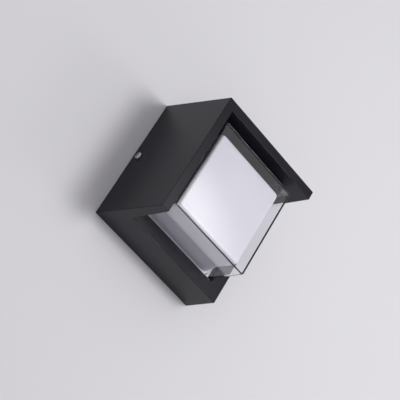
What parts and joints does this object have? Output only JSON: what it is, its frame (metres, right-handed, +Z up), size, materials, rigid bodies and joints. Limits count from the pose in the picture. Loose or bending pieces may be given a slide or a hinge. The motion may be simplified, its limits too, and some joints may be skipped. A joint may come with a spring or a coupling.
{
  "type": "outdoor wall lantern",
  "caption": "Square black outdoor wall lantern set on its corner, with an L-shaped canopy over a clear cover and an opal diffuser, on a steel wall bracket.",
  "frame": {"origin": "centre of the wall bracket's face on the wall, which is also the centre of the square body", "axes": "+Z up through the canopy's corner, -Y out of the wall towards the front, +X to the right seen from the front"},
  "size_m": [0.2114, 0.102, 0.2114],
  "materials": {
    "powder_coat": "fine-textured black powder coat",
    "clear_cover": "clear moulded polycarbonate, polished",
    "opal": "opal white polycarbonate, satin",
    "silicone": "matte black silicone",
    "aluminium": "mill finish",
    "stainless": "polished stainless steel",
    "thermal_pad": "matte grey",
    "white_board": "white solder mask",
    "phosphor": "yellow phosphor",
    "white_plastic": "matte white",
    "green_board": "green solder mask",
    "ferrite": "dull dark grey",
    "winding_tape": "yellow polyester tape",
    "capacitor_sleeve": "dark sleeve",
    "lead_red": "satin PVC",
    "lead_black": "satin PVC",
    "lead_brown": "satin PVC",
    "lead_blue": "satin PVC",
    "lead_green": "satin PVC, green with a yellow stripe",
    "tinned_brass": "tinned",
    "block_plastic": "natural nylon",
    "zinc_steel": "zinc plated",
    "black_nylon": "matte black nylon"
  },
  "bodies": {
    "wall_bracket": {"wall_bracket": "zinc_steel", "bracket_earth_screw": "stainless"},
    "lantern": {"housing": "powder_coat", "clear_cover": "clear_cover", "inner_diffuser": "opal", "cover_gasket": "silicone", "back_gasket": "silicone", "gland_seal": "silicone", "lead_grommet": "silicone", "led_tray": "aluminium", "diffuser_screws": "stainless", "tray_screws": "stainless", "board_screws": "stainless", "driver_screws": "stainless", "earth_screw": "stainless", "terminal_block_screws": "stainless", "terminal_clamp_screws": "stainless", "back_plate_screws": "stainless", "thermal_pad": "thermal_pad", "led_board": "white_board", "led_chips": "phosphor", "driver_case": "white_plastic", "driver_lid": "white_plastic", "driver_board": "green_board", "transformer_core": "ferrite", "transformer_winding": "winding_tape", "driver_capacitors": "capacitor_sleeve", "output_lead_red": "lead_red", "output_lead_black": "lead_black", "live_lead": "lead_brown", "neutral_lead": "lead_blue", "earth_lead": "lead_green", "earth_ring_terminal": "tinned_brass", "terminal_block": "block_plastic", "back_plate": "zinc_steel", "gland_body": "black_nylon", "gland_cap": "black_nylon", "gland_lock_nut": "black_nylon"},
    "upper_side_washer": {"side_washer_upper": "black_nylon"},
    "upper_side_screw": {"side_screw_upper": "stainless"},
    "lower_side_washer": {"side_washer_lower": "black_nylon"},
    "lower_side_screw": {"side_screw_lower": "stainless"}
  },
  "joints": [
    {"name": "lantern_lift_off", "type": "slide", "parent": "wall_bracket", "child": "lantern", "axis": [0, -1, 0], "range_m": [0, 0.04]},
    {"name": "upper_side_screw_travel", "type": "slide", "parent": "lantern", "child": "upper_side_washer", "axis": [-0.7071, 0, 0.7071], "range_m": [0, 0.0035]},
    {"name": "upper_side_screw_turn", "type": "hinge", "parent": "upper_side_washer", "child": "upper_side_screw", "pos_m": [-0.053, -0.0115, 0.053], "axis": [-0.7071, 0, 0.7071], "range_deg": [0, 1800]},
    {"name": "lower_side_screw_travel", "type": "slide", "parent": "lantern", "child": "lower_side_washer", "axis": [0.7071, 0, -0.7071], "range_m": [0, 0.0035]},
    {"name": "lower_side_screw_turn", "type": "hinge", "parent": "lower_side_washer", "child": "lower_side_screw", "pos_m": [0.053, -0.0115, -0.053], "axis": [0.7071, 0, -0.7071], "range_deg": [0, 1800]}
  ],
  "couplings": [
    {"joint": "upper_side_screw_turn", "follows": "upper_side_screw_travel", "rad_per_m": 8975.9},
    {"joint": "lower_side_screw_turn", "follows": "lower_side_screw_travel", "rad_per_m": 8975.9}
  ]
}
